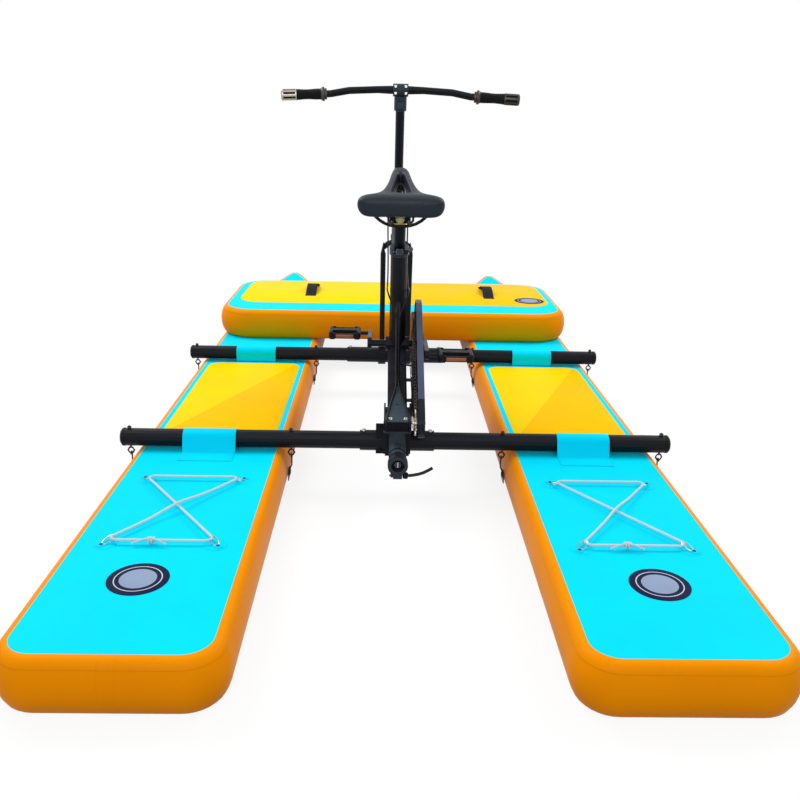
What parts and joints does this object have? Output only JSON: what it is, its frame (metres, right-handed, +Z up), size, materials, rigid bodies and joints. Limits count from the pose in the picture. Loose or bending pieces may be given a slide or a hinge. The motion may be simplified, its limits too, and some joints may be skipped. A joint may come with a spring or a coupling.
{
  "type": "water bike",
  "caption": "Water bike: inflatable floats under a pedal frame whose chain and bevel gears drive a steerable tail socket, with saddle, handlebar and deck cords.",
  "frame": {"origin": "centre of the footprint at the level of the floats' undersides", "axes": "+X to the rider's right, +Y forward along the floats, +Z up"},
  "size_m": [1.555, 3.36, 1.1193],
  "materials": {
    "float_skin": "satin",
    "black_paint": "satin",
    "grey_paint": "satin",
    "bright_steel": "satin",
    "dark_steel": "satin",
    "grip_rubber": "matte",
    "black_plastic": "matte",
    "webbing": "matte",
    "elastic": "matte",
    "saddle_cover": "satin"
  },
  "bodies": {
    "frame": {"bungee_left": "elastic", "bungee_right": "elastic", "chain": "dark_steel", "chain_guard": "grey_paint", "chain_guide": "black_plastic", "cross_float": "float_skin", "cross_float_valve": "black_plastic", "float_left": "float_skin", "float_right": "float_skin", "fork": "black_paint", "front_cross_tube": "black_paint", "front_sleeve": "black_paint", "front_strap_left": "float_skin", "front_strap_right": "float_skin", "front_tube_cap_left": "black_plastic", "front_tube_cap_right": "black_plastic", "gearbox_housing": "grey_paint", "gusset_plate": "grey_paint", "handle_left": "webbing", "handle_right": "webbing", "main_frame": "black_paint", "rear_bracket": "grey_paint", "rear_cross_tube": "black_paint", "rear_sleeve": "black_paint", "rear_strap_left": "float_skin", "rear_strap_right": "float_skin", "rear_tube_cap_left": "black_plastic", "rear_tube_cap_right": "black_plastic", "seat_clamp": "black_paint", "steering_cables": "black_plastic", "tie_front_left_inner": "dark_steel", "tie_front_left_outer": "dark_steel", "tie_front_right_inner": "dark_steel", "tie_front_right_outer": "dark_steel", "tie_rear_left_inner": "dark_steel", "tie_rear_left_outer": "dark_steel", "tie_rear_right_inner": "dark_steel", "tie_rear_right_outer": "dark_steel", "valve_left": "black_plastic", "valve_right": "black_plastic"},
    "crank": {"crank_right": "black_paint", "crank_left": "black_paint", "chainring": "dark_steel"},
    "pedal_left": {"pedal_left": "black_plastic"},
    "pedal_right": {"pedal_right": "black_plastic"},
    "sprocket": {"rear_sprocket": "bright_steel"},
    "upper_shaft": {"upper_shaft": "bright_steel"},
    "steering": {"handlebar_post": "black_paint", "stem_clamp": "grey_paint", "handlebar": "black_paint", "grip_left": "grip_rubber", "grip_right": "grip_rubber"},
    "seat": {"seat_post": "black_paint", "saddle": "saddle_cover", "saddle_rails": "black_paint"},
    "seat_lever": {"seat_clamp_lever": "black_paint"},
    "tail": {"tail_housing": "black_paint"},
    "lower_shaft": {"lower_shaft": "bright_steel"},
    "tail_shaft": {"tail_shaft": "bright_steel"},
    "tail_lever": {"tail_lever": "black_paint"}
  },
  "joints": [
    {"name": "crank_spin", "type": "hinge", "parent": "frame", "child": "crank", "pos_m": [0, -0.35, 0.347], "axis": [1, 0, 0], "continuous": true},
    {"name": "pedal_left_spin", "type": "hinge", "parent": "crank", "child": "pedal_left", "pos_m": [-0.17, -0.18533, 0.33664], "axis": [1, 0, 0], "continuous": true},
    {"name": "pedal_right_spin", "type": "hinge", "parent": "crank", "child": "pedal_right", "pos_m": [0.17, -0.51467, 0.35736], "axis": [1, 0, 0], "continuous": true},
    {"name": "sprocket_spin", "type": "hinge", "parent": "frame", "child": "sprocket", "pos_m": [0, -0.745, 0.228], "axis": [1, 0, 0], "continuous": true},
    {"name": "upper_shaft_spin", "type": "hinge", "parent": "frame", "child": "upper_shaft", "pos_m": [0, -0.745, 0.228], "axis": [0, 0, 1], "continuous": true},
    {"name": "steering_turn", "type": "hinge", "parent": "frame", "child": "steering", "pos_m": [0, 0.218, 0.15], "axis": [0, -0.309, 0.9511], "range_deg": [-40, 40]},
    {"name": "tail_swivel", "type": "hinge", "parent": "frame", "child": "tail", "pos_m": [0, -0.745, 0.155], "axis": [0, 0, 1], "range_deg": [-30, 30]},
    {"name": "lower_shaft_spin", "type": "hinge", "parent": "tail", "child": "lower_shaft", "pos_m": [0, -0.745, 0.155], "axis": [0, 0, 1], "continuous": true},
    {"name": "tail_shaft_spin", "type": "hinge", "parent": "tail", "child": "tail_shaft", "pos_m": [0, -0.745, 0.155], "axis": [0, 1, 0], "continuous": true},
    {"name": "tail_lever_swing", "type": "hinge", "parent": "tail", "child": "tail_lever", "pos_m": [0.0205, -0.868, 0.1245], "axis": [0, 0, -1], "range_deg": [0, 90]},
    {"name": "seat_lever_swing", "type": "hinge", "parent": "frame", "child": "seat_lever", "pos_m": [0.0185, -0.47434, 0.65318], "axis": [0, 0, -1], "range_deg": [0, 90]},
    {"name": "seat_height", "type": "slide", "parent": "frame", "child": "seat", "axis": [0, -0.2807, 0.9598], "range_m": [-0.03, 0.1]}
  ],
  "couplings": [
    {"joint": "sprocket_spin", "follows": "crank_spin", "ratio": 3},
    {"joint": "upper_shaft_spin", "follows": "crank_spin", "ratio": 3},
    {"joint": "lower_shaft_spin", "follows": "crank_spin", "ratio": 3},
    {"joint": "tail_shaft_spin", "follows": "crank_spin", "ratio": 3},
    {"joint": "tail_swivel", "follows": "steering_turn", "ratio": -0.75}
  ]
}
